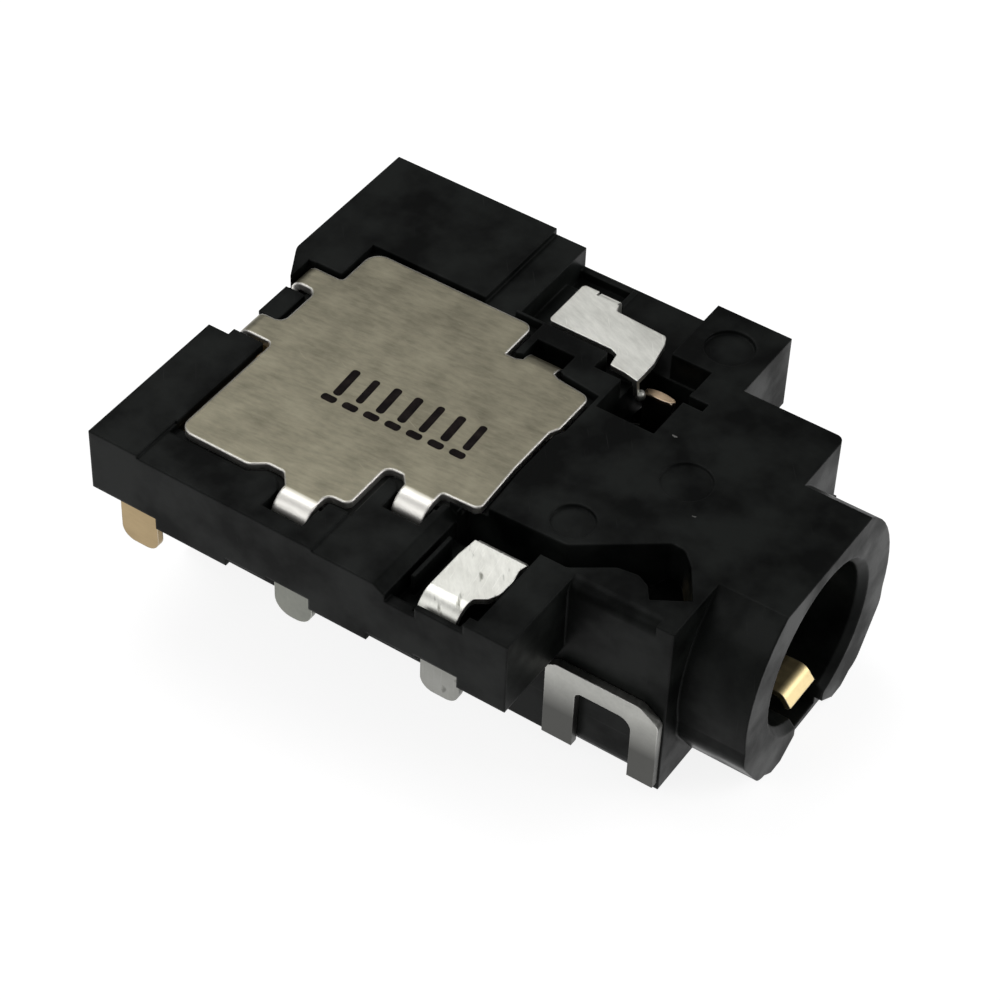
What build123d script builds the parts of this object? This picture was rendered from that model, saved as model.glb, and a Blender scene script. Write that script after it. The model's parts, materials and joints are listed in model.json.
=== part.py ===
from build123d import *
import os
from math import hypot

# Audio jack socket for a 3.5 mm plug, sizes in millimetres.
# X runs along the plug's axis and out of the mouth, Y across, Z up.
# The board's top face is Z = 0, the plug's axis is Y = 0, the moulding's rear end is X = 0.

# Plug channel
axis_z = -0.47
bore_r = 1.80
mouth_r = 1.96
mouth_lead = 0.16

# Moulding, overall
length = 13.85
flange_x = 12.32
flange_t = 0.38
wing_x = 9.97
tab_x = 8.20
rear_x = 0.50
body_half = 3.27
near_half = 5.34
far_half = 5.31
tab_half = 5.21
wing_wall = 0.24
near_wall = near_half - wing_wall
far_wall = far_half - 0.17
top_z = 1.82
sunk_z = -2.67
sunk_round = 1.10
barrel_r = 2.81
barrel_low_z = -2.90

# Sheet metal
shield_t = 0.18
plate_t = 0.14
leaf_t = 0.12
crown_t = 0.10
clip_t = 0.19
tail_t = 0.16
fold_r = 0.42

# Named clearances
shield_rim = 0.14
slide_gap = 0.03
swing_gap = 0.27
tail_gap = 0.06

# Shield plate
shield_z = 1.79
pocket_z = shield_z - shield_t - 0.01

# Solder tails
tail_y = near_half - 0.18
gold_tail_z = -0.93
tail_z = -0.74
tail_notch = 0.28
strip_z = (0.26, 0.40)
crown_tail = (0.55, 1.47)
near_tail = (4.40, 5.30)
near_switch_tail = (7.90, 8.80)
near_switch_root = (7.75, 8.63)
far_tail = (4.80, 5.56)
far_switch_tail = (5.90, 6.36)

# Springs: the crown spring's bending line (x, z), the angle that it rests at, and the strips' heights
crown_pivot = (2.00, 1.41)
crown_swing = 5.0
crown_neck = 1.15
leaf_z = (axis_z - 0.62, axis_z + 0.60)
under_z = -2.52
leg_x = {"tip": (4.10, 5.10), "mouth": (6.00, 7.10)}
leg_y = body_half + 0.09
leg_top = -0.70
mouth_notch = 0.56
mouth_floor = -2.75
under_slot = 0.60
under_half = 0.48
crown_room = 0.74

# Board terminals and hold-down clips
switch_z = 1.62
far_floor_z = 1.14
clip_top_z = -0.36
clip_low_z = -2.45
clip_front = flange_x - slide_gap
clip_tongue = (clip_front - 1.44, clip_front - 0.84)
tongue_deep = 0.35


def box(x, y, z):
    """A block between two values on each axis."""
    size = (x[1] - x[0], y[1] - y[0], z[1] - z[0])
    return Pos((x[0] + x[1]) / 2, (y[0] + y[1]) / 2, (z[0] + z[1]) / 2) * Box(*size)


def span(a, b):
    """Two values in rising order."""
    return (min(a, b), max(a, b))


def outline(points):
    """A flat face from corners given as (x, y) or (x, y, corner radius)."""
    corners = [(p[0], p[1], p[2] if len(p) > 2 else 0) for p in points]
    face = make_face(Polyline(*[(x, y) for x, y, r in corners], close=True))
    for radius in sorted({r for x, y, r in corners if r}):
        spots = [(x, y) for x, y, r in corners if r == radius]
        picked = [v for v in face.vertices() if min(hypot(v.X - x, v.Y - y) for x, y in spots) < 1e-6]
        face = fillet(picked, radius)
    return face


def upright(points, z):
    """An outline drawn in plan, standing between two heights."""
    return Pos(0, 0, z[0]) * extrude(outline(points), z[1] - z[0])


def side_on(points, y):
    """An outline drawn as (x, z), seen from the near side, reaching between two values of Y."""
    plane = Plane(origin=(0, y[1], 0), x_dir=(1, 0, 0), z_dir=(0, -1, 0))
    return plane * extrude(outline(points), y[1] - y[0])


def end_on(points, x):
    """An outline drawn as (y, z), seen from the mouth, reaching between two values of X."""
    plane = Plane(origin=(x[0], 0, 0), x_dir=(0, 1, 0), z_dir=(1, 0, 0))
    return plane * extrude(outline(points), x[1] - x[0])


def along_x(shape, x):
    """A cylinder or cone whose low end is moved onto the plug's axis at a value of X."""
    return Pos(x, 0, axis_z) * Rot(0, 90, 0) * shape


def ribbon(path, thick):
    """The edge-on outline of a bent strip, from its middle line given as (x, y) or (x, y, bend radius)."""
    half = thick / 2
    sides = {1: [], -1: []}
    for i, (x, y, *bend) in enumerate(path):
        ways = []
        for a, b in ((i - 1, i), (i, i + 1)):
            if a >= 0 and b < len(path):
                dx, dy = path[b][0] - path[a][0], path[b][1] - path[a][1]
                ways.append((dx / hypot(dx, dy), dy / hypot(dx, dy)))
        before, after = ways[0], ways[-1]
        turn = before[0] * after[1] - before[1] * after[0]
        mx, my = -(before[1] + after[1]), before[0] + after[0]
        size = hypot(mx, my)
        reach = 2 * half / size
        for side in sides:
            radius = 0
            if bend:
                radius = bend[0] - half if side * turn > 0 else bend[0] + half
            sides[side].append((x + side * mx / size * reach, y + side * my / size * reach, radius))
    return sides[1] + sides[-1][::-1]


def swung(shape, pivot, angle):
    """A strip drawn pressed flat by the plug, turned back to where it rests."""
    return Pos(pivot[0], 0, pivot[1]) * Rot(0, angle, 0) * Pos(-pivot[0], 0, -pivot[1]) * shape


def tail(x, outer, side, high=0.5, low=tail_z, round_part=0.34):
    """A rounded solder tail between two values of X, its outer face at a value of Y."""
    tip = round_part * (x[1] - x[0])
    shape = [(x[0], high), (x[0], low, tip), (x[1], low, tip), (x[1], high)]
    return side_on(shape, span(side * outer, side * (outer - tail_t)))


def tail_slot(x, side, high, room):
    """The clearance in a wing's outer wall for a tail, with the notch that shows it."""
    slot_y = span(side * (tail_y - tail_t - tail_gap), side * (tail_y + tail_gap))
    notch_y = span(side * tail_y, side * (near_half + 0.1))
    slot = box((x[0] - room, x[1] + room), slot_y, (-0.1, high))
    return slot + box((x[0] - 0.06, x[1] + 0.06), notch_y, (-0.1, tail_notch))


# Housing: the slab of the two wings and the deck
slab = upright([(0, -near_half), (wing_x, -near_half), (wing_x, -body_half), (flange_x, -body_half),
                (flange_x, body_half, 0.18), (wing_x, body_half), (wing_x, tab_half), (tab_x, tab_half),
                (tab_x, far_half), (0, far_half), (0, 1.56, 0.4), (rear_x, 0.64), (rear_x, -1.45),
                (0, -1.45)], (0, top_z))

# The sunk body, with rounded lower edges, and the square flange in front of it
sunk = end_on([(-body_half, 0.2), (-body_half, sunk_z, sunk_round), (body_half, sunk_z, sunk_round),
               (body_half, 0.2)], (rear_x, flange_x))
near_top = [e for e in slab.edges().filter_by(Axis.X) if abs(e.center().Z - top_z) < 0.01]
slab = fillet([e for e in near_top if abs(e.center().Y + body_half) < 0.01], 0.3)
flange = box((flange_x - flange_t, flange_x), (-body_half, body_half), (sunk_z, 0.2))
flange += box((flange_x - flange_t, flange_x), (-body_half, 0), (0, top_z))

# The barrel: a tube with a flat top and two slight feet
foot = [(-2.74, -0.6), (-2.74, -1.5, 0.5), (-1.95, -2.7, 0.5), (1.95, -2.7, 0.5), (2.74, -1.5, 0.5),
        (2.74, -0.6)]
low_end = (Align.CENTER, Align.CENTER, Align.MIN)
barrel = along_x(Cylinder(barrel_r, length - flange_x + 0.1, align=low_end), flange_x - 0.1)
barrel += end_on(foot, (flange_x - 0.1, length))
barrel &= box((flange_x - 0.1, length), (-3, 3), (barrel_low_z, top_z))
housing = slab + sunk + flange + barrel

# Second block and the low part of the far wing, with its rim and rib
housing -= box((4.12, 4.88), (2.55, far_half + 0.1), (1.66, 2))
housing -= box((4.88, tab_x), (2.64, far_half + 0.1), (far_floor_z, 2))
housing -= box((tab_x - 0.1, tab_x + 0.96), (2.64, 3.36), (far_floor_z, 2))
housing -= box((4.88, 6.16), (far_wall - 0.54, far_wall), (far_floor_z - 0.22, 2))
housing += box((6.16, 6.26), (far_wall - 0.54, far_wall + 0.06), (far_floor_z - 0.1, far_floor_z + 0.05))
housing += box((5.50, 6.90), (3.02, 3.96), (far_floor_z - 0.1, switch_z - plate_t))
housing -= box((7.10, 8.06), (2.10, 2.70), (switch_z - plate_t - 0.2, 2))

# Top of the near wing: a shallow step behind the rear block, lower still by the side tabs
housing -= box((1.21, 5.50), (-near_half - 0.1, -4.10), (1.74, 2))
housing -= box((5.45, 6.92), (-near_half - 0.1, -2.60), (1.68, 2))

# Pocket of the shield plate
rear_tabs = ((-1.12, -0.50), (0.70, 1.28))
side_tabs = (((4.04, 4.86), -4.78), ((5.92, 6.64), -3.40), ((5.80, 6.56), 1.98))
tab_flat = shield_t / 2 + fold_r
bend_y = [y + tab_flat if y < 0 else y - tab_flat for x, y in side_tabs]
shield = [(0.78, rear_tabs[0][0]), (1.33, -1.12, 0.14), (1.38, -1.25), (1.38, -4.22, 0.3),
          (3.10, -4.22, 0.25), (3.42, -3.98, 0.2), (3.80, -3.98, 0.14), (4.04, bend_y[0]), (4.86, bend_y[0]),
          (4.86, -4.00, 0.18), (5.36, -3.98, 0.16), (5.36, -2.70, 0.2), (5.74, -2.68, 0.1),
          (5.92, bend_y[1]), (6.64, bend_y[1]), (6.64, -2.66, 0.1), (7.50, -2.62, 0.16),
          (7.42, -1.25, 0.1), (7.42, -0.02, 0.1), (7.53, 0.2), (7.53, 1.30, 0.2), (6.70, 1.40, 0.1),
          (6.56, bend_y[2]), (5.80, bend_y[2]), (5.66, 1.40), (5.42, 1.40),
          (5.42, 2.44, 0.22), (1.40, 2.44, 0.36), (1.40, 1.28, 0.1), (0.78, rear_tabs[1][1])]
window = [(0.40, rear_tabs[0][1]), (1.16, rear_tabs[0][1], 0.22), (1.16, rear_tabs[1][0], 0.22),
          (0.40, rear_tabs[1][0])]
pocket = offset(outline([p[:2] for p in shield]), amount=shield_rim, kind=Kind.INTERSECTION)
housing -= Pos(0, 0, pocket_z) * extrude(pocket, 1)
for y0, y1 in rear_tabs:
    housing -= box((rear_x - 0.06, 0.90), (y0 - 0.06, y1 + 0.06), (1.28, 2))
housing -= box((rear_x - 0.06, 1.0), (rear_tabs[0][0] - 0.14, rear_tabs[1][1] + 0.12), (pocket_z, 2))
housing += box((rear_x, 0.98), (rear_tabs[0][1] + 0.07, rear_tabs[1][0] - 0.18), (pocket_z - 0.1, 1.72))
for (x0, x1), y in side_tabs:
    side = 1 if y > 0 else -1
    tab_room = span(y + side * 0.16, y - side * (tab_flat + 0.05))
    housing -= box((x0 - 0.08, x1 + 0.08), tab_room, (1.0, 2))

# Pocket of the near switch terminal, its sloping edge, a thin rib and the low part of its wall
housing -= box((7.16, 9.14), (-near_wall, -2.94), (1.02, 2))
housing -= side_on([(6.90, 2), (6.90, 1.68), (7.18, 1.50), (7.18, 2)], (-near_half - 0.1, -2.80))
housing += box((7.30, 7.38), (-near_wall + 0.46, -3.36), (0.9, 1.56))
housing -= box((7.16, 7.86), (-near_half - 0.1, -near_wall + 0.1), (1.34, 2))
housing -= box((7.86, 8.96), (-near_half - 0.1, -near_wall + 0.1), (1.58, 2))
housing -= box((7.82, 9.02), (-3.26, -2.94), (0, 1.1))

# The curved slot over the near spring, and the hollow that the spring swings in
curved_slot = [(7.20, -2.52), (9.42, -2.46, 0.2), (11.04, -1.24, 0.15), (11.34, -1.26, 0.2),
               (11.66, -1.56, 0.2), (12.16, -2.32), (11.46, -2.76), (11.24, -2.46, 0.15),
               (10.96, -2.33, 0.2), (10.52, -2.40, 0.2), (9.74, -2.96, 0.2), (7.20, -2.96)]
near_room = [(4.20, -3.12), (9.70, -3.12), (10.70, -2.78), (12.16, -2.78), (12.16, -1.2), (10.9, -1.2),
             (9.42, -2.20), (4.20, -2.35)]
housing -= upright(curved_slot, (-1.30, 2))
housing -= upright(near_room, (-1.30, 0.30))

# The square hole over the far spring, and the hollow that the spring swings in
far_room = [(4.60, 2.75), (7.60, 2.30), (8.10, 1.0), (9.80, 1.0), (9.80, 3.0), (9.0, 3.14), (4.60, 3.14)]
housing -= box((7.76, 9.14), (1.14, 3.10), (-1.30, 0.1))
housing -= box((7.76, 9.14), (1.14, 3.32), (0, 2))
housing -= box((9.14, 9.60), (2.26, 2.50), (1.3, 2))
housing -= upright(far_room, (-1.30, 0.30))

# Room for the crown spring and its carrier
housing -= box((1.60, 7.67), (-crown_room, crown_room), (0.6, pocket_z + 0.01))
housing -= box((0.60, 2.42), (-4.06, -0.60), (1.18, pocket_z + 0.01))
housing -= box((0.40, crown_neck + 0.04), (-tail_y - tail_gap, -4.0), (1.18, pocket_z + 0.01))
housing -= box((0.30, 1.75), (-tail_y - tail_gap, -tail_y + 0.56), (0.2, 1.30))

# Open slots under the channel for the tip and mouth springs, and the ways out to their legs
for x in ((1.10, 5.30), (5.80, 12.55)):
    housing -= box(x, (-under_slot, under_slot), (-4, axis_z))

# Groove of the mouth spring's nose over the mouth's floor, and the arch between the barrel's feet
housing -= box((12.50, length + 1), (-mouth_notch, mouth_notch), (mouth_floor, axis_z))
housing -= end_on([(-mouth_notch, axis_z), (-mouth_notch, -2.58), (-1.20, -3.0), (1.20, -3.0),
                   (mouth_notch, -2.58), (mouth_notch, axis_z)], (13.68, length + 1))
for x in leg_x.values():
    housing -= box((x[0] - 0.2, x[1] + 0.2), (0, body_half + 1), (-4, under_z + 0.30))

# Slots for the tongues of the hold-down clips
for side in (-1, 1):
    tongue_y = span(side * (body_half - tongue_deep - 0.02), side * (body_half + 1))
    housing -= box((clip_tongue[0] - 0.02, clip_tongue[1] + 0.02), tongue_y,
                   (clip_top_z - 0.48, clip_top_z - 0.30))

# Slots and notches for the solder tails
housing -= tail_slot(crown_tail, -1, 1.0, swing_gap)
housing -= tail_slot(near_tail, -1, 0.62, swing_gap)
housing -= tail_slot(near_switch_tail, -1, 2, slide_gap)
root_slot_y = (-tail_y - tail_gap, -tail_y + tail_t + tail_gap)
housing -= box((near_switch_root[0] - slide_gap, 8.2), root_slot_y, (0.24, 2))
housing -= tail_slot(far_tail, 1, 0.62, swing_gap)
housing -= box((far_switch_tail[0] - slide_gap, far_switch_tail[1] + slide_gap), (4.22, 4.44), (-0.1, 2))
housing -= box((near_tail[0] - 0.24, near_tail[1] + 0.24), (-tail_y, -2.5), (0.12, 0.54))
housing -= box((far_tail[0] - 0.24, far_tail[1] + 0.24), (2.8, tail_y), (0.12, 0.54))
housing -= box((-1, crown_tail[1] + 0.12), (-near_half - 0.1, -near_half + 0.4), (-0.1, tail_notch))
for x in (near_tail[0] - 1.06, near_switch_tail[0] - 1.16):
    housing -= box((x, x + 1.1), (-near_half - 0.1, -near_half + 0.14), (-0.1, 0.2))

# The plug channel, with its lead-in at the mouth
housing -= along_x(Cylinder(bore_r, length + 2, align=low_end), -1)
housing -= along_x(Cone(bore_r, mouth_r, mouth_lead, align=low_end), length - mouth_lead)

# Round ejector marks in the deck
for x, y, r, deep in ((9.07, 4.22, 0.54, 0.10), (10.39, 0.36, 0.54, 0.05), (9.16, -1.84, 0.46, 0.08)):
    housing -= Pos(x, y, top_z - deep) * Cylinder(r, 1, align=low_end)

# Shield plate: the flat plate, its three side tabs and its two rear tabs
shield_mid = shield_z - shield_t / 2
shield_plate = Pos(0, 0, shield_z - shield_t) * extrude(outline(shield), shield_t)
shield_plate -= upright(window, (1, 2))
for x, y in side_tabs:
    side = 1 if y > 0 else -1
    fold = y - side * shield_t / 2
    path = [(fold - side * (fold_r + 0.1), shield_mid), (fold, shield_mid, fold_r), (fold, shield_z - 0.66)]
    shield_plate += end_on(ribbon(path, shield_t), x)
for y in rear_tabs:
    fold = rear_x + shield_t / 2
    path = [(0.86, shield_mid), (fold, shield_mid, 0.18), (fold, shield_z - 0.44)]
    shield_plate += side_on(ribbon(path, shield_t), y)

# Crown spring: a strip along the channel's top, its carrier and the gold tail
crown_z = axis_z + bore_r + 0.02 + crown_t / 2
crown_path = [(1.78, crown_z), (7.02, crown_z, 0.2), (7.22, crown_z + 0.04)]
carrier = (crown_pivot[1] - 0.05, crown_pivot[1] + 0.05)
crown_spring = swung(side_on(ribbon(crown_path, crown_t), (-0.49, 0.49)), crown_pivot, crown_swing)
crown_spring += box((1.76, 2.20), (-0.95, 0.49), carrier)
crown_spring += box((0.70, 2.20), (-4.00, -0.90), carrier)
crown_spring += box((0.70, crown_neck), (-tail_y, -3.90), carrier)
crown_spring += box((crown_tail[0], crown_neck), (-tail_y, -tail_y + tail_t), (0.4, carrier[1]))
crown_spring += tail(crown_tail, tail_y, -1, low=gold_tail_z)

# Near spring: upright leaf along the slot, bent in to touch the plug, and its tail
near_path = [(4.40, -2.67), (9.30, -2.60, 0.4), (11.00, -1.40, 0.3), (11.30, -1.42, 0.3), (11.72, -1.92)]
near_spring = upright(ribbon(near_path, leaf_t), leaf_z)
near_spring += box(near_tail, (-2.74, -2.60), (leaf_z[0], strip_z[1]))
near_spring += box(near_tail, (-tail_y, -2.60), strip_z)
near_spring += tail(near_tail, tail_y, -1, strip_z[1], round_part=0.44)

# Far spring: upright gold leaf, a finger that rises into the square hole, and its tail
far_path = [(4.80, 2.97), (7.70, 2.74, 0.4), (8.60, 1.52, 0.3), (8.90, 1.52, 0.3), (9.25, 1.86)]
finger_path = [(7.36, 2.77), (7.72, 2.76, 0.3), (7.96, 2.84, 0.3), (8.62, 2.86)]
far_spring = upright(ribbon(far_path, leaf_t), leaf_z)
far_spring += upright(ribbon(finger_path, leaf_t), (0.0, 0.13))
far_spring += upright(ribbon(finger_path, leaf_t + 0.03), (0.0, 1.06)) & box((7.94, 9), (2, 4), (-1, 2))
far_spring += Pos(8.31, 2.865, 0.94) * extrude(Ellipse(0.34, 0.11), 0.14)
far_spring += box(far_tail, (2.89, 3.03), (leaf_z[0], strip_z[1]))
far_spring += box(far_tail, (2.89, tail_y), strip_z)
far_spring += tail(far_tail, tail_y, 1, strip_z[1])


def under_spring(path, leg):
    """A strip under the channel, with a root that leads out to a solder leg on the far side."""
    spring = side_on(ribbon(path, plate_t), (-under_half, under_half))
    spring += box(leg, (-under_half, body_half - 0.2), (under_z - plate_t / 2, under_z + plate_t / 2))
    leg_path = [(body_half - 0.3, under_z), (leg_y, under_z, 0.18), (leg_y, leg_top)]
    return spring + end_on(ribbon(leg_path, plate_t), leg)


# Tip spring: under the channel at the rear. Mouth spring: its rounded nose is in the mouth's notch
tip_path = [(5.10, under_z), (3.70, under_z, 0.5), (2.45, -1.96, 0.3), (2.10, -1.96, 0.3), (1.72, -2.30)]
mouth_path = [(6.0, under_z), (11.30, under_z, 0.6), (13.00, -1.75, 0.3), (13.40, -1.75, 0.2),
              (13.60, -2.02)]
tip_spring = under_spring(tip_path, leg_x["tip"])
mouth_spring = under_spring(mouth_path, leg_x["mouth"])

# Near switch terminal: plate, near edge bent down to the tail, far edge bent down to the blade
switch_mid = switch_z - plate_t / 2
leg_mid = -tail_y + plate_t / 2
root_y = -tail_y + 0.52
blade_y = -3.14
plate_share = (blade_y - 0.06 - root_y) / 1.44
near_plate = [(near_switch_root[0], 0), (near_switch_root[1], 0), (8.65, 0.12, 0.1), (8.88, 0.28, 0.14),
              (9.00, 0.52, 0.2), (9.02, 0.94, 0.3), (8.95, 1.24, 0.2), (9.00, 1.44), (7.80, 1.44),
              (near_switch_root[0], 0.94)]
near_plate = [(x, root_y + deep * plate_share, *bend) for x, deep, *bend in near_plate]
near_switch_terminal = Pos(0, 0, switch_z - plate_t) * extrude(outline(near_plate), plate_t)
root_path = [(root_y + 0.06, switch_mid), (leg_mid, switch_mid, 0.45), (leg_mid, 0.3)]
blade_path = [(blade_y - 0.16, switch_mid), (blade_y, switch_mid, 0.1), (blade_y, 0.03)]
near_switch_terminal += end_on(ribbon(root_path, plate_t), near_switch_root)
near_switch_terminal += end_on(ribbon(blade_path, plate_t), (7.86, 8.96))
near_switch_terminal += tail(near_switch_tail, tail_y, -1)

# Far switch terminal: plate, an arm that drops to a ball beside the finger, and the tail behind
far_plate = [(5.46, 2.96, 0.1), (7.00, 2.96, 0.1), (7.18, 2.88), (7.24, 2.54), (7.58, 2.52), (7.95, 2.44),
             (7.95, 3.10), (7.83, 3.70, 0.1), (7.73, 3.94, 0.12), (6.46, 4.01, 0.08), (6.40, 4.20),
             (5.84, 4.20), (5.84, 4.32), (5.46, 4.32, 0.1)]
far_switch_terminal = Pos(0, 0, switch_z - plate_t) * extrude(outline(far_plate), plate_t)
back_path = [(4.00, switch_mid), (4.33, switch_mid, 0.12), (4.33, 0.3)]
far_switch_terminal += end_on(ribbon(back_path, plate_t), far_switch_tail)
far_switch_terminal += tail(far_switch_tail, 4.26 + tail_t / 2 + plate_t / 2, 1)
stem_path = [(2.60, switch_mid), (2.48, switch_mid, 0.08), (2.56, 1.10)]
far_switch_terminal += end_on(ribbon(stem_path, 0.09), (7.84, 7.95))
far_switch_terminal += Pos(7.96, 2.61, 1.10) * Sphere(0.12)


def hold_clip(side):
    """A U-shaped plate beside the sunk body, with a tongue folded into the moulding."""
    x = clip_front
    shape = [(x - 2.59, clip_low_z), (x - 2.59, clip_top_z - 0.14), (x - 2.35, clip_top_z, 0.1),
             (x - 0.43, clip_top_z, 0.2), (x, clip_top_z - 0.30, 0.2), (x, clip_low_z),
             (x - 0.59, clip_low_z), (x - 0.59, clip_top_z - 0.50, 0.3),
             (x - 1.89, clip_top_z - 0.50, 0.16), (x - 1.89, clip_low_z)]
    inner = body_half + 0.01
    clip = side_on(shape, span(side * inner, side * (inner + clip_t)))
    return clip + box(clip_tongue, span(side * (body_half - tongue_deep), side * (inner + clip_t)),
                      (clip_top_z - 0.46, clip_top_z - 0.32))


near_hold_clip = hold_clip(-1)
far_hold_clip = hold_clip(1)

pieces = {
    "housing": housing,
    "shield_plate": shield_plate,
    "crown_spring": crown_spring,
    "near_spring": near_spring,
    "far_spring": far_spring,
    "tip_spring": tip_spring,
    "mouth_spring": mouth_spring,
    "near_switch_terminal": near_switch_terminal,
    "far_switch_terminal": far_switch_terminal,
    "near_hold_clip": near_hold_clip,
    "far_hold_clip": far_hold_clip,
}
os.makedirs("parts", exist_ok=True)
for name, shape in pieces.items():
    export_step(shape, f"parts/{name}.step")
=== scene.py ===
# %% [markdown]
# # An audio jack socket, dressed for its portrait
#
# The real object is a black moulding about 14 mm long that sits in a cut-out of a circuit board. Stamped
# sheet-metal springs, two switch terminals, a cover plate and two hold-down clips are let into it. The
# shapes come from the CAD model. This script gives them their finishes, squares the lower corners of the
# moulding, adds the ink that is too fine for the solids, and sets up the light and the camera.
#
# The lesson goes in the order of the work: load the model, build the effects that several finishes share,
# make the black resin and the plated metals, add the fine pieces, then the studio.

# %% Load the frame
import json
import math
import bpy
import bmesh
from mathutils import Matrix, Vector


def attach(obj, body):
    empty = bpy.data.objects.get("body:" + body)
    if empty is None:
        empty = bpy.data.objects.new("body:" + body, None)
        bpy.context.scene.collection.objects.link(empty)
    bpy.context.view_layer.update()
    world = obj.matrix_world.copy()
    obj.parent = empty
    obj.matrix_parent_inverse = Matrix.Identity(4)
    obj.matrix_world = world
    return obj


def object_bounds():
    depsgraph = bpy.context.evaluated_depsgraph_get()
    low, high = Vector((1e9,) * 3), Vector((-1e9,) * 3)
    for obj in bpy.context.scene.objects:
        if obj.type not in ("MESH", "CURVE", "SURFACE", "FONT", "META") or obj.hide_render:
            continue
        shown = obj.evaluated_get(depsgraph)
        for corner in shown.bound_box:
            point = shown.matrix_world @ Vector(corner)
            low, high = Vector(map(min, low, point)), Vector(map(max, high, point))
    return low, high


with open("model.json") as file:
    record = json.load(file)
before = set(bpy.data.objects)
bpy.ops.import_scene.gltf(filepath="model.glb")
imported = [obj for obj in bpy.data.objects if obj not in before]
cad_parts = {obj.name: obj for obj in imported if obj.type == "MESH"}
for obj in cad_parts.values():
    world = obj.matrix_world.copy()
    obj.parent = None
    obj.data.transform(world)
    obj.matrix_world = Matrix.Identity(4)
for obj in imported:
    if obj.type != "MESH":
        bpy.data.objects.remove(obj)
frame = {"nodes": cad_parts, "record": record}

cad_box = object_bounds()
nodes = frame["nodes"]
mm = 0.001
print("nodes:", list(nodes))
print("size in mm:", [round((b - a) / mm, 2) for a, b in zip(cad_box[0], cad_box[1])])

# %% [markdown]
# ## Small helpers for node trees
#
# A finish is a graph of nodes. Writing each node as one call keeps the graph readable: `add` makes a node,
# sets its properties and fills its inputs, and an input may be a plain value or another node's output. The
# same helper works inside a shared group and inside a material. The others are short names for what comes
# up again and again: a sum, a spread, a mix, a colour laid on by a mask, a point on the object.

# %% Node helpers
def add(tree, kind, inputs=None, **settings):
    """One node of this kind. An input is a value, or another node's output to link from."""
    node = tree.nodes.new(kind)
    for name, value in settings.items():
        setattr(node, name, value)
    for name, value in (inputs or {}).items():
        socket = node.inputs[name]
        if isinstance(value, bpy.types.NodeSocket):
            tree.links.new(value, socket)
        else:
            socket.default_value = value
    return node


def math_node(tree, operation, a, b):
    """The result of one sum on two numbers."""
    return add(tree, "ShaderNodeMath", {0: a, 1: b}, operation=operation).outputs[0]


def ramp(tree, value, low, high, to_low=0.0, to_high=1.0):
    """A value spread from one range to another, held at both ends."""
    inputs = {"Value": value, "From Min": low, "From Max": high, "To Min": to_low, "To Max": to_high}
    return add(tree, "ShaderNodeMapRange", inputs).outputs[0]


def blend_colour(tree, factor, a, b):
    """Two colours mixed by a mask. The node keeps its colour sockets at 6 and 7, and its result at 2."""
    return add(tree, "ShaderNodeMix", {0: factor, 6: a, 7: b}, data_type="RGBA").outputs[2]


def laid_on(tree, colour, over, mask, strength):
    """A colour with another one laid over it where the mask is, as strongly as the strength says."""
    return blend_colour(tree, math_node(tree, "MULTIPLY", mask, strength), colour, over)


def object_point(tree, turn=None):
    """The point on the object in its own frame, turned about the vertical where a turn is given."""
    point = add(tree, "ShaderNodeTexCoord").outputs["Object"]
    if turn is None:
        return point
    return add(tree, "ShaderNodeVectorRotate", {"Vector": point, "Angle": turn},
               rotation_type="Z_AXIS").outputs[0]


def stretched(tree, vector, factors):
    """A vector times a factor of its own along each axis. A pattern looks squeezed where it is large."""
    return add(tree, "ShaderNodeVectorMath", {0: vector, 1: factors}, operation="MULTIPLY").outputs[0]


def cosine(tree, a, b):
    """How far two directions agree: 1 where they are the same, 0 where they are square to each other."""
    return add(tree, "ShaderNodeVectorMath", {0: a, 1: b}, operation="DOT_PRODUCT").outputs["Value"]


def shared_group(name, inputs, outputs):
    """An empty shader group with named sockets, given as {name: (socket type, default)} and {name: type}."""
    group = bpy.data.node_groups.new(name, "ShaderNodeTree")
    for label, (kind, default) in inputs.items():
        socket = group.interface.new_socket(label, in_out="INPUT", socket_type=kind)
        socket.default_value = default
    for label, kind in outputs.items():
        group.interface.new_socket(label, in_out="OUTPUT", socket_type=kind)
    start = group.nodes.new("NodeGroupInput")
    end = group.nodes.new("NodeGroupOutput")
    return group, start.outputs, end.inputs


def place(tree, group, **inputs):
    """A shared group set into a material, with this material's own values."""
    return add(tree, "ShaderNodeGroup", inputs, node_tree=group).outputs


print("helpers ready")

# %% [markdown]
# ## Soft edges
#
# Nothing moulded or stamped has a perfectly sharp corner: the tool leaves a radius of a few hundredths of a
# millimetre, and that radius catches the light as a thin line. The solids have sharp corners, so the finish
# rounds them: the Bevel node bends the normal near an edge. Comparing the bent normal with the true one
# gives a mask of the edges. The finishes make the colour paler in that mask: on the plastic partly for
# handling wear and partly as a painted highlight, on the metals as a painted highlight along the sheared
# edges.

# %% Shared effect: soft edges
still_flat, full_edge = 0.98, 0.82
edge_group, g_in, g_out = shared_group(
    "Soft edges", {"Radius": ("NodeSocketFloat", 0.00003)},
    {"Normal": "NodeSocketVector", "Edge": "NodeSocketFloat"})
bevel = add(edge_group, "ShaderNodeBevel", {"Radius": g_in["Radius"]}, samples=6)
surface = add(edge_group, "ShaderNodeNewGeometry")
agreement = cosine(edge_group, bevel.outputs[0], surface.outputs["Normal"])
edge_group.links.new(bevel.outputs[0], g_out["Normal"])
edge_group.links.new(ramp(edge_group, agreement, still_flat, full_edge), g_out["Edge"])
print("shared effect:", edge_group.name)

# %% [markdown]
# ## Fine grain and handling marks
#
# Two more effects are shared. The first is an even, fine grain, made of two sizes of noise, for moulded and
# plated surfaces. The second is what fingers and tweezers leave: sparse thin scratches. A scratch is noise
# drawn out so far that it becomes a line, with only its highest peaks kept, so that few lines are left.

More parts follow.
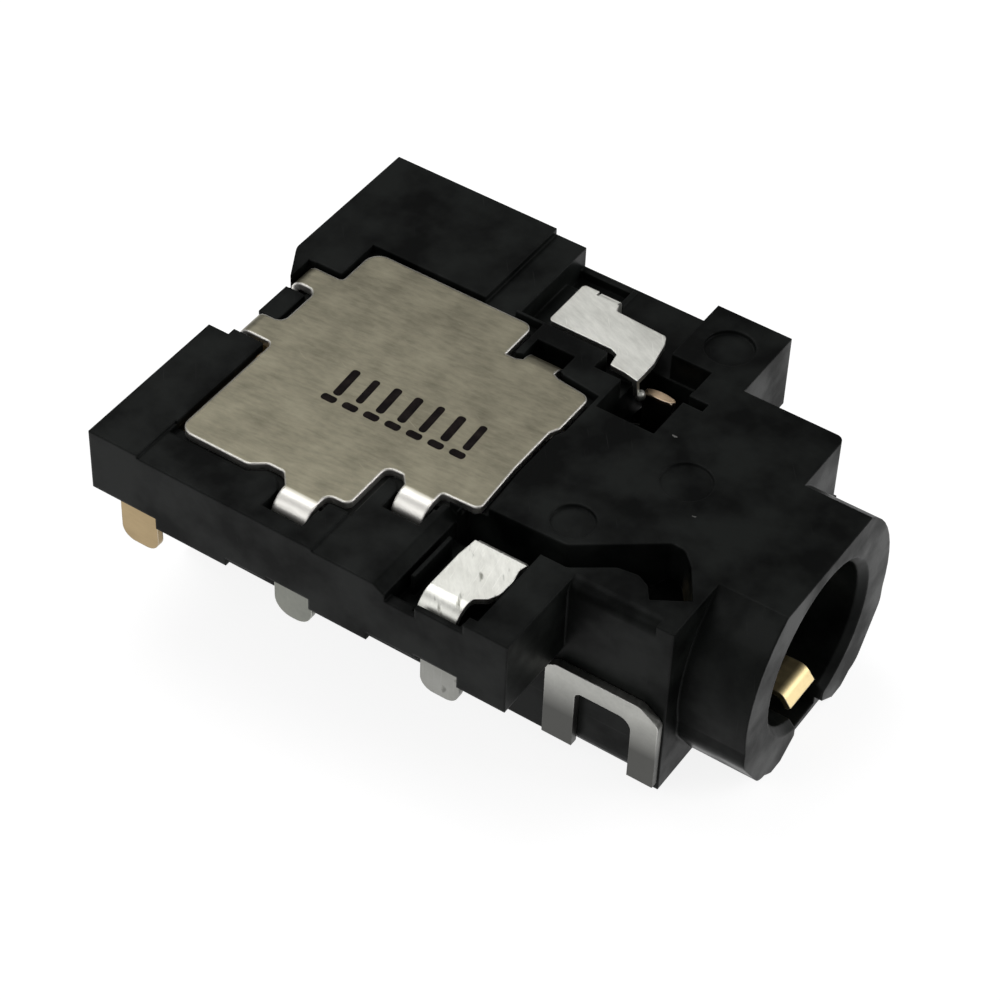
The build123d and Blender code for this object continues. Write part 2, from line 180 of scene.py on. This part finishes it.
# %% Shared effect: grain
grain_group, g_in, g_out = shared_group(
    "Fine grain", {"Scale": ("NodeSocketFloat", 20000.0), "Patches": ("NodeSocketFloat", 900.0)},
    {"Height": "NodeSocketFloat", "Patch": "NodeSocketFloat"})
point = object_point(grain_group)
fine = add(grain_group, "ShaderNodeTexNoise",
           {"Vector": point, "Scale": g_in["Scale"], "Detail": 3.0, "Roughness": 0.6})
patch = add(grain_group, "ShaderNodeTexNoise",
            {"Vector": point, "Scale": g_in["Patches"], "Detail": 4.0, "Roughness": 0.55})
grain_group.links.new(fine.outputs["Fac"], g_out["Height"])
grain_group.links.new(patch.outputs["Fac"], g_out["Patch"])
print("shared effect:", grain_group.name)

# %% Shared effect: scratches
rare_peaks, more_peaks, line_softness = 0.78, 0.16, 0.05
scratch_group, g_in, g_out = shared_group(
    "Scratches", {"Turn": ("NodeSocketFloat", 0.6), "Length": ("NodeSocketFloat", 600.0),
                  "Fineness": ("NodeSocketFloat", 26000.0), "Amount": ("NodeSocketFloat", 0.5)},
    {"Mask": "NodeSocketFloat"})
factors = add(scratch_group, "ShaderNodeCombineXYZ",
              {"X": g_in["Length"], "Y": g_in["Fineness"], "Z": g_in["Length"]}).outputs[0]
lined = stretched(scratch_group, object_point(scratch_group, g_in["Turn"]), factors)
lines = add(scratch_group, "ShaderNodeTexNoise", {"Vector": lined, "Scale": 1.0, "Detail": 2.0})
spread = math_node(scratch_group, "MULTIPLY", g_in["Amount"], more_peaks)
threshold = math_node(scratch_group, "SUBTRACT", rare_peaks, spread)
full = math_node(scratch_group, "ADD", threshold, line_softness)
scratch_group.links.new(ramp(scratch_group, lines.outputs["Fac"], threshold, full), g_out["Mask"])
print("shared effect:", scratch_group.name)

# %% [markdown]
# ## Flecks
#
# Under a close lens every plastic part carries a few pale specks of dust and tiny chips. A Voronoi pattern
# scatters one point in each cell. Cutting its distance off very near the point leaves a speck, and a random
# value per cell keeps only a few of them. A little noise on the position makes their outlines ragged, and
# squeezing it one way makes them longer than wide, as chips are.

# %% Shared effect: flecks
shake = (0.00007, 0.00007, 0.00007)
chip_shape = (0.5, 1.3, 1.0)
largest_speck = 0.10
fleck_group, g_in, g_out = shared_group(
    "Flecks", {"Spacing": ("NodeSocketFloat", 700.0), "Kept": ("NodeSocketFloat", 0.25)},
    {"Mask": "NodeSocketFloat"})
point = object_point(fleck_group)
ragged = add(fleck_group, "ShaderNodeTexNoise",
             {"Vector": point, "Scale": 14000.0, "Detail": 2.0}).outputs["Color"]
shaken = add(fleck_group, "ShaderNodeVectorMath", {0: ragged, 1: shake, 2: point},
             operation="MULTIPLY_ADD").outputs[0]
longer = stretched(fleck_group, shaken, chip_shape)
cells = add(fleck_group, "ShaderNodeTexVoronoi", {"Vector": longer, "Scale": g_in["Spacing"]}).outputs
lot = add(fleck_group, "ShaderNodeSeparateColor", {"Color": cells["Color"]}).outputs
size = math_node(fleck_group, "MULTIPLY", lot[1], largest_speck)
speck = math_node(fleck_group, "LESS_THAN", cells["Distance"], size)
kept = math_node(fleck_group, "MULTIPLY", math_node(fleck_group, "LESS_THAN", lot[0], g_in["Kept"]), lot[2])
fleck_group.links.new(math_node(fleck_group, "MULTIPLY", speck, kept), g_out["Mask"])
print("shared effect:", fleck_group.name)

# %% [markdown]
# ## Rolling lines and darker lower ends
#
# Two more effects belong to the metals. Rolling leaves long fine lines along the strip: a noise that is
# squeezed across the strip and drawn out along it. And many stamped pieces are made darker towards their
# lower end, by a ramp on the height over the board: on the terminals and the clips' legs that is painted
# shade, under the moulding and near the board's edge, and on the far spring's leaf it is tarnish below the
# rubbed top. Each metal sets its own direction and its own heights, so both are groups with inputs.

# %% Shared effect: rolling lines
strip_factors = (2200.0, 9000.0, 9000.0)
rolling_group, g_in, g_out = shared_group(
    "Rolling lines", {"Turn": ("NodeSocketFloat", 0.0)}, {"Lines": "NodeSocketFloat"})
drawn = stretched(rolling_group, object_point(rolling_group, g_in["Turn"]), strip_factors)
rolled = add(rolling_group, "ShaderNodeTexNoise",
             {"Vector": drawn, "Scale": 1.0, "Detail": 6.0, "Roughness": 0.7}).outputs["Fac"]
rolling_group.links.new(rolled, g_out["Lines"])
print("shared effect:", rolling_group.name)

# %% Shared effect: painted shade and tarnish low down
# A ramp on height that darkens the colour low down: painted shade on the terminals and clips, tarnish on the
# far spring's leaf.
low_shade_and_tarnish_group, g_in, g_out = shared_group(
    "Painted shade and tarnish low down", {"Start": ("NodeSocketFloat", 0.0), "Full": ("NodeSocketFloat", -0.001),
                    "Amount": ("NodeSocketFloat", 1.0)}, {"Mask": "NodeSocketFloat"})
height = add(low_shade_and_tarnish_group, "ShaderNodeSeparateXYZ", {0: object_point(low_shade_and_tarnish_group)}).outputs["Z"]
depth = ramp(low_shade_and_tarnish_group, height, g_in["Start"], g_in["Full"])
low_shade_and_tarnish_group.links.new(math_node(low_shade_and_tarnish_group, "MULTIPLY", depth, g_in["Amount"]), g_out["Mask"])
print("shared effect:", low_shade_and_tarnish_group.name)

# %% [markdown]
# ## The black moulding
#
# The real plastic is a glass-filled black resin. It isn't pure black: its grain scatters the light into a
# dark grey sheen, flat faces show faint cloudy patches where the melt flowed, and the edges are a little
# paler, partly from handling wear and partly as a painted highlight along their rounding. The colour stays
# nearly constant, and the roughness and a small bump do the work.

# %% Start of a finish
def finish_of(name):
    """A new material: its tree, its shader and the shader's inputs."""
    material = bpy.data.materials.new(name)
    material.use_nodes = True
    tree = material.node_tree
    return material, tree, tree.nodes["Principled BSDF"].inputs


# %% Black plastic
patch_low, patch_high = 0.38, 0.62
dull, sheen = 0.50, 0.30
deep_black = (0.0008, 0.0012, 0.0010, 1)
cloudy_black = (0.0125, 0.0140, 0.0130, 1)
# The edge colour is partly handling wear and partly a painted highlight.
edge_wear_and_highlight_black = (0.020, 0.022, 0.021, 1)
scuff_grey = (0.03, 0.03, 0.03, 1)
dust_grey = (0.22, 0.22, 0.21, 1)
black_plastic, tree, shader = finish_of("Black moulded resin")
edges = place(tree, edge_group, Radius=0.07 * mm)
grain = place(tree, grain_group, Scale=30000.0, Patches=700.0)
marks = place(tree, scratch_group, Turn=0.9, Length=900.0, Fineness=30000.0, Amount=0.35)
flecks = place(tree, fleck_group, Spacing=1500.0, Kept=0.35)
cloud = blend_colour(tree, ramp(tree, grain["Patch"], patch_low, patch_high), deep_black, cloudy_black)
# Paler edges: partly handling wear, partly a painted highlight along the rounded edges.
edge_wear_and_highlight = laid_on(tree, cloud, edge_wear_and_highlight_black, edges["Edge"], strength=0.3)
scuffed = laid_on(tree, edge_wear_and_highlight, scuff_grey, marks["Mask"], strength=0.35)
dusted = laid_on(tree, scuffed, dust_grey, flecks["Mask"], strength=0.8)
rough = ramp(tree, grain["Patch"], patch_low, patch_high, dull, sheen)
bumped = add(tree, "ShaderNodeBump", {"Height": grain["Height"], "Normal": edges["Normal"],
                                      "Strength": 0.35, "Distance": 0.004 * mm}).outputs[0]
tree.links.new(dusted, shader["Base Color"])
tree.links.new(rough, shader["Roughness"])
tree.links.new(bumped, shader["Normal"])
shader["Specular IOR Level"].default_value = 0.07
print("finish:", black_plastic.name)

# %% [markdown]
# ## Rolled and plated sheet
#
# The cover plate is nickel-plated strip. Rolling leaves long fine lines along the strip, which here run
# diagonally, and plating turns them into a soft, slightly warm grey. The same recipe, with other values,
# gives the bright tin of the terminals and the thin gold of the springs, so one function builds them all:
# only the colours, the roughness and the depth of the lines differ.
#
# Two extras come first. Where the press tool bent a tab of the cover plate down, the face leans to the
# tabs' side, and there the colour is made pale: a painted highlight for the light the bend catches. The near
# terminal was creased as it was pressed home, and a few dark smears across it are painted shade for those
# creases. Each is used by one metal only, so a plain function is enough.

# %% Rubbed bends and dark smears
# A pale colour for the sheared edges: a painted highlight.
sheared_edge_highlight = (0.95, 0.94, 0.9, 1)
# A pale colour for the bent tabs: a painted highlight.
bend_highlight_colour = (0.97, 0.95, 0.90, 1)
# A grey for the creases: painted shade.
crease_shade_grey = (0.20, 0.20, 0.17, 1)
tab_side = (0.55, -0.83, 0.0)
smear_factors = (1500.0, 5200.0, 3000.0)


def painted_bend_highlight(tree, colour, normal, amount):
    """A colour made pale where the face leans towards the tabs' side: a painted highlight on the bends."""
    leaning = ramp(tree, cosine(tree, normal, tab_side), 0.03, 0.22)
    return laid_on(tree, colour, bend_highlight_colour, leaning, amount)


def with_crease_shade(tree, colour, turn, amount):
    """A colour with a few dark smears across the strip: painted shade for creases."""
    along = stretched(tree, object_point(tree, turn), smear_factors)
    smear = add(tree, "ShaderNodeTexNoise", {"Vector": along, "Scale": 1.0, "Detail": 4.0}).outputs["Fac"]
    return laid_on(tree, colour, crease_shade_grey, ramp(tree, smear, 0.60, 0.70), amount)


print("extras ready: burnished, creased")

# %% [markdown]
# The recipe itself. Its mask of rolling lines does double work: it colours the sheet and, through the Bump
# node, also gives it relief, so the lines that are seen are the lines that catch the light.

# %% Plated sheet
line_low, line_high = 0.25, 0.75
streak_share, cloud_share = 0.55, 0.45
grain_relief = 0.3
rough_spread = 0.06


def plated_sheet(name, light, dark, roughness, turn, lines, scratches, edge_highlight, edge=0.03, bend_highlight=0.0,
                 low_shade_and_tarnish=None, crease_shade=0.0):
    """A metal finish with rolling lines, cloudy plating, scratches and pale sheared edges, a painted
    highlight.
    """
    material, tree, shader = finish_of(name)
    edges = place(tree, edge_group, Radius=edge * mm)
    grain = place(tree, grain_group, Scale=26000.0, Patches=1100.0)
    marks = place(tree, scratch_group, Turn=turn + 0.5, Length=1500.0, Fineness=24000.0, Amount=scratches)
    rolled = place(tree, rolling_group, Turn=turn)["Lines"]
    streaks = math_node(tree, "MULTIPLY", ramp(tree, rolled, line_low, line_high), streak_share)
    clouds = math_node(tree, "MULTIPLY", ramp(tree, grain["Patch"], 0.3, 0.7), cloud_share)
    sheet = blend_colour(tree, math_node(tree, "ADD", streaks, clouds), dark, light)
    scratched = laid_on(tree, sheet, light, marks["Mask"], strength=0.5)
    # Pale sheared edges: a painted highlight along the edge mask.
    colour = laid_on(tree, scratched, sheared_edge_highlight, edges["Edge"], edge_highlight)
    # A painted highlight where the tabs are bent down.
    if bend_highlight:
        colour = painted_bend_highlight(tree, colour, edges["Normal"], bend_highlight)
    # Dark smears as painted shade for creases.
    if crease_shade:
        colour = with_crease_shade(tree, colour, turn, crease_shade)
    # Darker towards the lower end: painted shade on the terminals and clips, tarnish on the far spring.
    if low_shade_and_tarnish:
        begins, is_full, amount, shade = low_shade_and_tarnish
        low_shade_and_tarnish_mask = place(tree, low_shade_and_tarnish_group, Start=begins * mm, Full=is_full * mm, Amount=amount)["Mask"]
        colour = blend_colour(tree, low_shade_and_tarnish_mask, colour, (shade, shade, shade * 0.94, 1))
    height = math_node(tree, "ADD", math_node(tree, "MULTIPLY", rolled, lines),
                       math_node(tree, "MULTIPLY", grain["Height"], grain_relief))
    bumped = add(tree, "ShaderNodeBump", {"Height": height, "Normal": edges["Normal"], "Strength": 0.5,
                                          "Distance": 0.003 * mm}).outputs[0]
    rough = ramp(tree, rolled, line_low, line_high, roughness - rough_spread, roughness + rough_spread)
    tree.links.new(colour, shader["Base Color"])
    tree.links.new(rough, shader["Roughness"])
    tree.links.new(bumped, shader["Normal"])
    shader["Metallic"].default_value = 1.0
    print("finish:", name)
    return material


print("metal recipe ready")

# %% [markdown]
# Eight metals come from the one recipe. `light` and `dark` are the ends of the plating's own cloudiness,
# `turn` is the rolling direction in radians, `lines` the depth of the rolling lines, and
# `low_shade_and_tarnish` says at which height in mm the darkening starts and is full, how strong it is,
# and how pale the dark end stays: painted shade on the terminals and the clips' legs, tarnish on the far
# spring's leaf.

# %% The metals
pale_tin = (1.0, 1.0, 0.94, 1)
# The terminals' lower parts darken as painted shade.
contact_low_shade = (0.25, 0.05, 0.78, 0.15)
nickel = plated_sheet("Nickel plated strip", (0.372, 0.346, 0.255, 1), (0.145, 0.135, 0.098, 1),
                      roughness=0.42, turn=-0.08, lines=0.8, scratches=0.4, edge_highlight=1.0, edge=0.07,
                      bend_highlight=0.95)
tin = plated_sheet("Bright tin plate", pale_tin, (0.62, 0.62, 0.57, 1), roughness=0.42, turn=0.4, lines=0.6,
                   scratches=0.6, edge_highlight=0.6, low_shade_and_tarnish=contact_low_shade)
crease_shaded_tin = plated_sheet("Tin plate with painted crease shade", pale_tin, (0.58, 0.58, 0.53, 1), roughness=0.42, turn=0.9,
                           lines=0.9, scratches=0.9, edge_highlight=0.6, low_shade_and_tarnish=contact_low_shade, crease_shade=0.9)
# The clips' legs darken towards the board as painted shade.
dull_tin = plated_sheet("Dull tin plate", (0.50, 0.50, 0.47, 1), (0.33, 0.33, 0.31, 1), roughness=0.40,
                        turn=1.2, lines=0.5, scratches=0.6, edge_highlight=0.7, low_shade_and_tarnish=(-0.65, -1.65, 0.95, 0.07))
grey_tin = plated_sheet("Grey tin plate", (0.26, 0.265, 0.235, 1), (0.17, 0.175, 0.155, 1), roughness=0.40,
                        turn=1.2, lines=0.5, scratches=0.6, edge_highlight=0.6)
gold = plated_sheet("Thin gold plate", (0.46, 0.345, 0.19, 1), (0.32, 0.235, 0.125, 1), roughness=0.34,
                    turn=0.0, lines=0.4, scratches=0.4, edge_highlight=0.4)
rubbed_gold = plated_sheet("Gold plate rubbed by plugs", (0.84, 0.70, 0.40, 1), (0.68, 0.54, 0.28, 1),
                           roughness=0.42, turn=0.0, lines=0.3, scratches=0.3, edge_highlight=0.4)
tipped_gold = plated_sheet("Gold leaf with a rubbed top", (0.86, 0.66, 0.44, 1), (0.50, 0.36, 0.24, 1),
                           roughness=0.36, turn=0.0, lines=0.5, scratches=0.6, edge_highlight=0.4,
                           low_shade_and_tarnish=(1.04, 0.98, 1.0, 0.15))

# %% [markdown]
# ## Finishes onto the solids
#
# The record names each node's material slot. The finish goes onto the node's own object, so that the shape
# stays exactly that of the CAD model. Some pieces need a version of their own: the hold-down clips and the
# near spring's tail are a duller tin than the terminals, the near terminal carries painted shade for the
# creases it got when pressed home, and the spring in the mouth and the top of the far one are rubbed bright.

# %% Dress the nodes
finishes = {"black_plastic": black_plastic, "nickel_plate": nickel, "tin_plate": tin, "gold_plate": gold}
special = {"near_hold_clip": dull_tin, "far_hold_clip": dull_tin, "near_spring": grey_tin,
           "near_switch_terminal": crease_shaded_tin, "mouth_spring": rubbed_gold, "far_spring": tipped_gold}
for part in frame["record"]["subparts"]:
    node = nodes[part["node"]]
    finish = special.get(part["node"], finishes[part["material_slot"]])
    node.data.materials.clear()
    node.data.materials.append(finish)
    print(part["node"], "->", part["material_slot"])

# %% [markdown]
# ## The lower corners of the sunk body
#
# The half of the moulding that hangs in the board's cut-out ends in nearly square lower corners, and behind
# the open clip that corner draws the outline. The solid's corners are rounder, so each side gets a few bars
# of the same plastic: one cross-section with a chosen rounding, drawn out along the plug's axis. The outer
# faces lie 2 micrometres inside the moulding's own, so that the two never fight for the same place, and the
# inner edges are buried in it.

# %% The corner's cross-section
corner_out = 3.268 * mm
corner_in = 2.00 * mm
corner_low = -2.668 * mm
corner_high = -1.40 * mm
corner_lap = 0.6 * mm
corner_steps = 6


def corner_section(rounding):
    """The bar's cross-section as (y, z) points: outer face, rounded corner, then the inside."""
    points = [(corner_out, corner_high)]
    for step in range(corner_steps + 1):
        angle = math.radians(90 * step / corner_steps)
        y = corner_out - rounding * (1 - math.cos(angle))
        z = corner_low + rounding * (1 - math.sin(angle))
        points.append((y, z))
    return points + [(corner_in, corner_low), (corner_out - corner_lap, corner_high)]


print("cross-section:", len(corner_section(0.06 * mm)), "points")

# %% [markdown]
# A bar needs only the cross-section at both ends and a band of faces between them. Behind the clip the
# corner is softer than elsewhere, so the rounding belongs to each span. On the far side the spans stop at
# the slots that the legs of the tip spring and the mouth spring pass through. The bars ride on the socket's
# body, as the moulding does.

# %% Corner bars
square, soft = 0.06, 0.44
near_spans = ((0.502, 9.90, square), (9.80, 12.10, soft))
far_spans = ((0.502, 3.898, square), (5.302, 5.798, square), (7.302, 9.90, square), (9.80, 12.10, soft))


def corner_bars(name, side, spans):
    """Closed bars along one lower edge of the sunk body. A span is its two ends and its rounding in mm."""
    shape = bmesh.new()
    for start, end, rounding in spans:
        outline = corner_section(rounding * mm)
        rear = [shape.verts.new((start * mm, side * y, z)) for y, z in outline]
        front = [shape.verts.new((end * mm, side * y, z)) for y, z in outline]
        shape.faces.new(rear)
        shape.faces.new(front)
        for i in range(len(outline)):
            after = (i + 1) % len(outline)
            shape.faces.new((rear[i], rear[after], front[after], front[i]))
    bmesh.ops.recalc_face_normals(shape, faces=shape.faces)
    mesh = bpy.data.meshes.new(name)
    shape.to_mesh(mesh)
    shape.free()
    mesh.materials.append(black_plastic)
    bars = bpy.data.objects.new(name, mesh)
    bpy.context.scene.collection.objects.link(bars)
    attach(bars, "socket")
    return bars


for name, side, spans in (("near_lower_corner", -1, near_spans), ("far_lower_corner", 1, far_spans)):
    bars = corner_bars(name, side, spans)
    print(name, len(bars.data.polygons), "faces in", len(spans), "bars")

# %% [markdown]
# ## Printed marks on the cover plate
#
# The real plate carries a short inked row. Here that place holds generic marks: plain strokes, each with a
# short dash, in a row of the same length and height. The ink is a film of a few thousandths of a
# millimetre, so each mark is a thin solid just over the plate. A Geometry Nodes tree repeats one stroke and
# one dash along the row: the row is a rule (equal steps), and equal steps are what instancing is for.

# %% Ink finish
ink_thick = (0.005, 0.003, 0.003, 1)
ink_thin = (0.016, 0.011, 0.010, 1)
ink, tree, shader = finish_of("Black marking ink")
grain = place(tree, grain_group, Scale=22000.0, Patches=4000.0)
inked = blend_colour(tree, ramp(tree, grain["Patch"], 0.4, 0.7), ink_thick, ink_thin)
tree.links.new(inked, shader["Base Color"])
shader["Roughness"].default_value = 0.7
shader["Specular IOR Level"].default_value = 0.1
print("finish:", ink.name)

# %% [markdown]
# ## The row of marks
#
# A Geometry Nodes tree is a recipe with a few inputs. This one draws the outline of a slanted stroke and of
# a short dash, fills them, gives them the ink's thickness, and sets one of each on every point of a line.
# The strokes' lengths vary a little from a fixed seed, as a worn printing die leaves them. How far the row
# climbs, how far a stroke slants and where its dash lies are shares of the recipe's own lengths, so the
# marks keep their form when an input changes.

# %% The row of marks as a recipe
row = bpy.data.node_groups.new("Row of inked marks", "GeometryNodeTree")
row.interface.new_socket("Geometry", in_out="OUTPUT", socket_type="NodeSocketGeometry")
row_inputs = {}
for label, kind, value in (("Count", "NodeSocketInt", 7), ("Step", "NodeSocketFloat", 0.50 * mm),
                           ("Length", "NodeSocketFloat", 0.82 * mm), ("Width", "NodeSocketFloat", 0.185 * mm),
                           ("Film", "NodeSocketFloat", 0.004 * mm), ("Seed", "NodeSocketInt", 4),
                           ("Start", "NodeSocketVector", (0.0, 0.0, 0.0))):
    socket = row.interface.new_socket(label, in_out="INPUT", socket_type=kind)
    socket.default_value = value
    row_inputs[label] = socket
given = row.nodes.new("NodeGroupInput").outputs


def inked_shape(length, width, slant, shift):
    """A rounded bar of ink: its outline as a parallelogram, filled and given the film's thickness."""
    bar = {"Bottom Width": width, "Top Width": width, "Height": length, "Offset": slant}
    outline = add(row, "GeometryNodeCurvePrimitiveQuadrilateral", bar, mode="TRAPEZOID")
    radius = math_node(row, "MULTIPLY", given["Width"], 0.4)
    rounded = add(row, "GeometryNodeFilletCurve", {"Curve": outline.outputs[0], "Count": 4, "Radius": radius},
                  mode="POLY").outputs[0]
    face = add(row, "GeometryNodeFillCurve", {"Curve": rounded}, mode="NGONS").outputs[0]
    under = add(row, "GeometryNodeFlipFaces", {"Mesh": face}).outputs[0]
    raised = add(row, "GeometryNodeExtrudeMesh",
                 {"Mesh": face, "Offset Scale": given["Film"], "Individual": False}, mode="FACES").outputs[0]
    both = row.nodes.new("GeometryNodeJoinGeometry")
    row.links.new(raised, both.inputs[0])
    row.links.new(under, both.inputs[0])
    closed = add(row, "GeometryNodeMergeByDistance",
                 {"Geometry": both.outputs[0], "Distance": 1e-7}).outputs[0]
    return add(row, "GeometryNodeTransform", {"Geometry": closed, "Translation": shift}).outputs[0]


def share_of(label, share):
    """One of the recipe's inputs, times a plain number."""
    return math_node(row, "MULTIPLY", given[label], share)


row_climb = share_of("Step", 0.06)
stroke_slant = share_of("Length", -0.06)
dash_length = share_of("Width", 1.9)
dash_place = {"X": share_of("Width", -0.3), "Y": share_of("Length", -0.70)}

step_along = add(row, "ShaderNodeCombineXYZ", {"X": given["Step"], "Y": row_climb}).outputs[0]
points = add(row, "GeometryNodeMeshLine", {"Count": given["Count"], "Offset": step_along}).outputs[0]
stroke = inked_shape(given["Length"], given["Width"], stroke_slant, (0, 0, 0))
dash_shift = add(row, "ShaderNodeCombineXYZ", dash_place).outputs[0]
dash = inked_shape(given["Width"], dash_length, 0.0, dash_shift)
varied = add(row, "FunctionNodeRandomValue",
             {"Min": (0.9, 0.92, 1.0), "Max": (1.1, 1.04, 1.0), "Seed": given["Seed"]},
             data_type="FLOAT_VECTOR").outputs[0]
strokes = add(row, "GeometryNodeInstanceOnPoints",
              {"Points": points, "Instance": stroke, "Scale": varied}).outputs[0]
dashes = add(row, "GeometryNodeInstanceOnPoints", {"Points": points, "Instance": dash}).outputs[0]
marks_joined = row.nodes.new("GeometryNodeJoinGeometry")
row.links.new(strokes, marks_joined.inputs[0])
row.links.new(dashes, marks_joined.inputs[0])
real = add(row, "GeometryNodeRealizeInstances", {"Geometry": marks_joined.outputs[0]}).outputs[0]
put = add(row, "GeometryNodeTransform", {"Geometry": real, "Translation": given["Start"]}).outputs[0]
dressed = add(row, "GeometryNodeSetMaterial", {"Geometry": put, "Material": ink}).outputs[0]
row.links.new(dressed, row.nodes.new("NodeGroupOutput").inputs[0])
print("recipe:", row.name)

# %% [markdown]
# The recipe is run once and its result kept as a plain mesh, so that the marks are a piece like any other.
# They lie on the plate's top face, whose height is read from the solid, and ride on the socket's body.

# %% The row of marks as a plain mesh
def built_from(recipe, name, values):
    """Run a recipe once and keep what it made as a plain mesh, with no modifier left on it."""
    obj = bpy.data.objects.new(name, bpy.data.meshes.new(name))
    bpy.context.scene.collection.objects.link(obj)
    modifier = obj.modifiers.new(name, "NODES")
    modifier.node_group = recipe
    for label, value in values.items():
        modifier[row_inputs[label].identifier] = value
    bpy.context.view_layer.update()
    made = bpy.data.meshes.new_from_object(obj.evaluated_get(bpy.context.evaluated_depsgraph_get()))
    obj.modifiers.clear()
    obj.data = made
    obj.data.name = name
    return obj


plate = nodes["shield_plate"]
plate_top = max((plate.matrix_world @ v.co).z for v in plate.data.vertices)
row_start = (3.33 * mm, -1.20 * mm, plate_top)
inked_row = built_from(row, "inked_row", {"Start": row_start})
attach(inked_row, "socket")
print("marks:", len(inked_row.data.polygons), "faces, top at z", round(plate_top / mm, 3), "mm")

# %% [markdown]
# ## The studio
#
# The photo looks down on the part from the mouth's side, through a long lens that keeps parallel edges
# nearly parallel. The camera's place and its three axes were worked out from the moulding's straight edges,
# so they are given as numbers: `right`, `down` and `ahead` are the picture's own directions in the part's
# frame.

# %% Camera
camera_data = bpy.data.cameras.new("Camera")
camera = bpy.data.objects.new("Camera", camera_data)
bpy.context.scene.collection.objects.link(camera)
bpy.context.scene.camera = camera
camera_data.sensor_width = 36.0
camera_data.lens = 110.94
camera_data.clip_start = 0.001
camera_data.clip_end = 10.0
right = Vector((0.8301, 0.5567, 0.0319))
down = Vector((0.4130, -0.5753, -0.7060))
ahead = Vector((-0.3747, 0.5992, -0.7075))
place_mm = Vector((30.13, -38.08, 44.19))
turn = Matrix((right.normalized(), (-down).normalized(), (-ahead).normalized())).transposed()
camera.matrix_world = Matrix.Translation(place_mm * mm) @ turn.to_4x4()
print("camera at", [round(v, 4) for v in camera.location])

# %% [markdown]
# The photo's background is pure white. Raising the lamps until the floor is white would burn the metal out,
# so the floor's colour does it: rays from the camera, and rays that a shiny face sends out, meet a floor
# that glows a little, while the light that lands on the part comes from a plain pale one. A dull share
# stays in the mix, so the part's shadow is still seen.

# %% Floor and backdrop
floor_gap = 0.00002
floor_z = cad_box[0][2] - floor_gap
bpy.ops.mesh.primitive_plane_add(size=3.0, location=(0, 0, floor_z))
floor = bpy.context.object
floor.name = "Floor"
floor_finish, tree, shader = finish_of("Pale floor")
shader["Base Color"].default_value = (0.72, 0.72, 0.72, 1)
shader["Roughness"].default_value = 0.9
soft_shadow = add(tree, "ShaderNodeBsdfDiffuse", {"Color": (0.34, 0.34, 0.34, 1)}).outputs[0]
white = add(tree, "ShaderNodeEmission", {"Color": (1, 1, 1, 1), "Strength": 0.86}).outputs[0]
seen = add(tree, "ShaderNodeAddShader", {0: soft_shadow, 1: white}).outputs[0]
rays = add(tree, "ShaderNodeLightPath").outputs
seen_as_white = math_node(tree, "MAXIMUM", rays["Is Camera Ray"], rays["Is Glossy Ray"])
lit = tree.nodes["Principled BSDF"].outputs[0]
both = add(tree, "ShaderNodeMixShader", {0: seen_as_white, 1: lit, 2: seen})
tree.links.new(both.outputs[0], tree.nodes["Material Output"].inputs["Surface"])
floor.data.materials.append(floor_finish)
print("floor at z", round(floor_z / mm, 2), "mm")

# %% [markdown]
# Three large square lamps and a dim pale world light the part. The strongest lamp stands on the mouth's
# side, so the faces towards +X are the paler ones, and the weakest on the near side, which stays dark. A
# lamp that is large for its distance gives soft shadows and broad highlights on the bent metal.

# %% Lamps
part_middle = Vector((0.007, 0, 0))


def lamp(name, towards, distance, size, power):
    """A square soft lamp that looks at the part from a direction."""
    data = bpy.data.lights.new(name, "AREA")
    data.shape = "SQUARE"
    data.size = size
    data.energy = power
    obj = bpy.data.objects.new(name, data)
    bpy.context.scene.collection.objects.link(obj)
    direction = Vector(towards).normalized()
    obj.location = part_middle + direction * distance
    obj.rotation_euler = direction.to_track_quat("Z", "Y").to_euler()


lamp("Overhead", (-0.38, 0.22, 0.88), distance=0.15, size=0.08, power=0.060)
lamp("Mouth side", (0.85, 0.5, 0.4), distance=0.16, size=0.09, power=0.075)
lamp("Near side", (-0.37, -0.71, 0.6), distance=0.16, size=0.09, power=0.035)
world = bpy.data.worlds.new("World")
bpy.context.scene.world = world
world.use_nodes = True
world.node_tree.nodes["Background"].inputs["Color"].default_value = (0.9, 0.9, 0.9, 1)
world.node_tree.nodes["Background"].inputs["Strength"].default_value = 0.30
bpy.context.scene.view_settings.view_transform = "Standard"
print("lamps ready")
